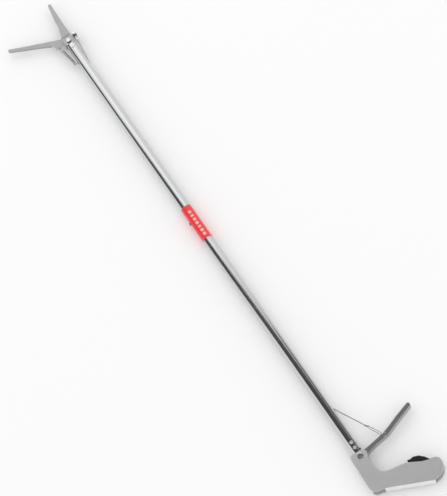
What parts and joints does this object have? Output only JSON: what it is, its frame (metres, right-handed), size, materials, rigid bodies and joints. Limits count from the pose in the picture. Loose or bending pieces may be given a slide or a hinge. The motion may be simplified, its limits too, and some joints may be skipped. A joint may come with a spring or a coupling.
{
  "type": "reacher grabber",
  "caption": "Long-pole reacher grabber: polished steel tube with scissor jaws, pull wire, trigger and folded sheet grip.",
  "frame": {"origin": "middle of the bounding box at its base", "axes": "+X along the pole from the jaws to the grip, +Y to the trigger side, +Z out of the face with the screw heads"},
  "size_m": [1.2268, 0.2328, 0.0287],
  "materials": {
    "tube_steel": "polished stainless tube",
    "sheet_steel": "brushed stainless sheet",
    "hardware": "plain steel screws, rivets and bushes",
    "wire_steel": "dull steel wire",
    "label_red": "thin glossy wrap",
    "pad_rubber": "black soft rubber"
  },
  "bodies": {
    "frame": {"front_tube": "tube_steel", "rear_tube": "tube_steel", "joint_sleeve": "hardware", "joint_screw": "hardware", "label_wrap": "label_red", "fixed_jaw": "sheet_steel", "fork_plate": "sheet_steel", "fork_spacer": "hardware", "fork_rivet": "hardware", "jaw_pivot_bolt": "hardware", "jaw_pivot_nut": "hardware", "spring_post": "hardware", "handle_shell": "sheet_steel", "end_sleeve": "hardware", "handle_rivets": "hardware", "trigger_pivot_screw": "hardware", "trigger_pivot_nut": "hardware", "grip_pad": "pad_rubber"},
    "trigger": {"trigger_lever": "sheet_steel", "trigger_bush": "hardware", "yoke_pin": "hardware"},
    "moving_jaw": {"moving_jaw": "sheet_steel", "jaw_bush": "hardware", "tail_bolt": "hardware", "tail_nut": "hardware"},
    "jaw_wire": {"head_wire": "wire_steel", "head_ferrule": "hardware"},
    "pole_wire": {"inner_wire": "wire_steel"},
    "trigger_wire": {"trigger_wire": "wire_steel", "wire_yoke": "wire_steel", "yoke_ferrule": "hardware"},
    "spring_base": {"spring_end_loop": "wire_steel", "spring_coil": "wire_steel"},
    "spring_tip": {"spring_hook": "wire_steel"}
  },
  "joints": [
    {"name": "trigger_pull", "type": "hinge", "parent": "frame", "child": "trigger", "pos_m": [0.49595, -0.01089, 0.0146], "axis": [0, 0, -1], "range_deg": [0, 18.66], "stiffness_Nm_per_rad": 1, "springref_deg": -20.05},
    {"name": "jaw_close", "type": "hinge", "parent": "frame", "child": "moving_jaw", "pos_m": [-0.52405, -0.01089, 0.0146], "axis": [0, 0, -1], "range_deg": [0, 60.55]},
    {"name": "jaw_wire_swing", "type": "hinge", "parent": "moving_jaw", "child": "jaw_wire", "pos_m": [-0.53105, 0.00491, 0.0146], "axis": [0, 0, 1], "range_deg": [0, 60.55]},
    {"name": "wire_slide", "type": "slide", "parent": "frame", "child": "pole_wire", "axis": [1, 0, 0], "range_m": [0, 0.01732]},
    {"name": "trigger_wire_swing", "type": "hinge", "parent": "trigger", "child": "trigger_wire", "pos_m": [0.48695, 0.04711, 0.0146], "axis": [0, 0, 1], "range_deg": [0, 14.82]},
    {"name": "spring_swing", "type": "hinge", "parent": "frame", "child": "spring_base", "pos_m": [-0.47855, -0.02549, 0.0146], "axis": [0, 0, -1], "range_deg": [0, 14.16]},
    {"name": "spring_stretch", "type": "slide", "parent": "spring_base", "child": "spring_tip", "axis": [-0.986, -0.167, 0], "range_m": [0, 0.01771]}
  ],
  "couplings": [
    {"joint": "jaw_close", "follows": "trigger_pull", "ratio": 3.242},
    {"joint": "jaw_wire_swing", "follows": "trigger_pull", "ratio": 3.242},
    {"joint": "wire_slide", "follows": "trigger_pull", "m_per_rad": 0.053131},
    {"joint": "trigger_wire_swing", "follows": "trigger_pull", "ratio": 0.79285},
    {"joint": "spring_swing", "follows": "trigger_pull", "ratio": 0.75702},
    {"joint": "spring_stretch", "follows": "trigger_pull", "m_per_rad": 0.054323}
  ]
}
